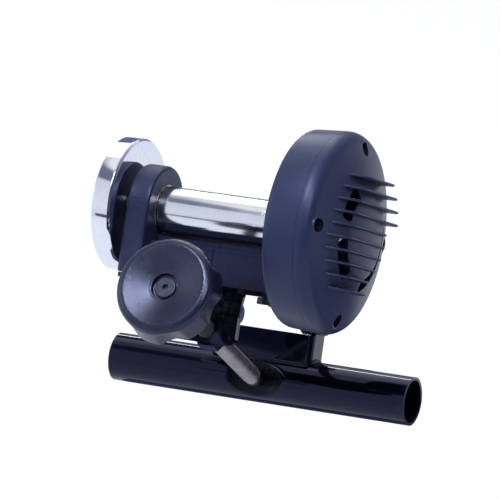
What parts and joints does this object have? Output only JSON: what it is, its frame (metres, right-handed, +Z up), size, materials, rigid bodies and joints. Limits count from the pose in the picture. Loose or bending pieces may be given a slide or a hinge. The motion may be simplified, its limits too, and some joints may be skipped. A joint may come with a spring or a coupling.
{
  "type": "bicycle trainer resistance unit",
  "caption": "Roller resistance unit for an indoor bicycle trainer: chromed roller and flywheel in a swinging cradle, finned brake housing and a knob-headed tension screw on a cross tube",
  "frame": {"origin": "on the axis of the cross tube, midway along it, in the plane of the tension screw", "axes": "+X runs along the cross tube and the roller from the flywheel towards the finned housing; +Y points horizontally from the knob's side to the side where the bicycle's tyre meets the roller; +Z is up"},
  "size_m": [0.212, 0.1876, 0.2062],
  "materials": {
    "painted_steel": "gloss black paint over steel",
    "satin_casting": "satin black powder coat over cast aluminium",
    "housing_plastic": "satin black moulded nylon",
    "knob_plastic": "fine-grained black moulded plastic",
    "polished_chrome": "polished chrome plate",
    "ground_steel": "ground bright steel",
    "screw_steel": "bright rolled thread with a film of oil",
    "zinc_steel": "zinc plated steel",
    "black_bolt": "blackened steel",
    "bearing_steel": "ground bearing steel",
    "seal_rubber": "moulded black rubber",
    "nylon": "natural nylon",
    "brake_aluminium": "turned aluminium",
    "magnet_nickel": "nickel plated magnet"
  },
  "bodies": {
    "frame": {"cross_tube": "painted_steel", "frame_bracket": "painted_steel", "pivot_bolt_left": "zinc_steel", "pivot_bolt_right": "zinc_steel", "pivot_washer_left": "zinc_steel", "pivot_washer_right": "zinc_steel", "pivot_nut_left": "zinc_steel", "pivot_nut_right": "zinc_steel"},
    "swing": {"swing_bracket": "painted_steel", "tension_nut": "painted_steel", "magnet_carrier": "zinc_steel", "shell_screw_1": "zinc_steel", "shell_screw_2": "zinc_steel", "shell_screw_3": "zinc_steel", "pivot_bush_left": "nylon", "pivot_bush_right": "nylon", "cradle_bolt_1": "black_bolt", "cradle_bolt_2": "black_bolt", "cradle_bolt_3": "black_bolt", "cradle_bolt_4": "black_bolt", "cover_screw_1": "black_bolt", "cover_screw_2": "black_bolt", "cover_screw_3": "black_bolt", "cover_screw_4": "black_bolt", "cradle_casting_left": "satin_casting", "cradle_casting_right": "satin_casting", "bearing_outer_ring_left": "bearing_steel", "bearing_outer_ring_right": "bearing_steel", "bearing_seal_left": "seal_rubber", "bearing_seal_right": "seal_rubber", "back_shell": "housing_plastic", "finned_cover": "housing_plastic", "brake_magnet_1": "magnet_nickel", "brake_magnet_2": "magnet_nickel", "brake_magnet_3": "magnet_nickel", "brake_magnet_4": "magnet_nickel", "brake_magnet_5": "magnet_nickel", "brake_magnet_6": "magnet_nickel"},
    "rotor": {"axle": "ground_steel", "roller_sleeve": "polished_chrome", "flywheel": "polished_chrome", "flywheel_spacer": "ground_steel", "flywheel_washer": "zinc_steel", "flywheel_nut": "zinc_steel", "fan_nut": "zinc_steel", "brake_disc": "brake_aluminium", "cooling_fan": "housing_plastic", "bearing_inner_ring_left": "bearing_steel", "bearing_inner_ring_right": "bearing_steel", "bearing_cage_left": "bearing_steel", "bearing_cage_right": "bearing_steel"},
    "foot": {"screw_foot": "screw_steel"},
    "screw": {"tension_screw": "screw_steel", "tension_knob": "knob_plastic", "knob_cap_screw": "black_bolt"}
  },
  "joints": [
    {"name": "swing_pivot", "type": "hinge", "parent": "frame", "child": "swing", "pos_m": [0, 0.01315, 0.03725], "axis": [1, 0, 0], "range_deg": [-10, 10]},
    {"name": "roller_spin", "type": "hinge", "parent": "swing", "child": "rotor", "pos_m": [0, -0.05479, 0.1257], "axis": [1, 0, 0], "continuous": true},
    {"name": "screw_travel", "type": "slide", "parent": "swing", "child": "foot", "axis": [0, 0.7908, -0.6121], "range_m": [-0.0076, 0.0076]},
    {"name": "knob_turn", "type": "hinge", "parent": "foot", "child": "screw", "pos_m": [0, -0.14538, 0.10616], "axis": [0, 0.7908, -0.6121], "range_deg": [-1560, 1560]}
  ],
  "couplings": [
    {"joint": "screw_travel", "follows": "swing_pivot", "m_per_rad": -0.04254},
    {"joint": "knob_turn", "follows": "swing_pivot", "ratio": -152.74}
  ]
}
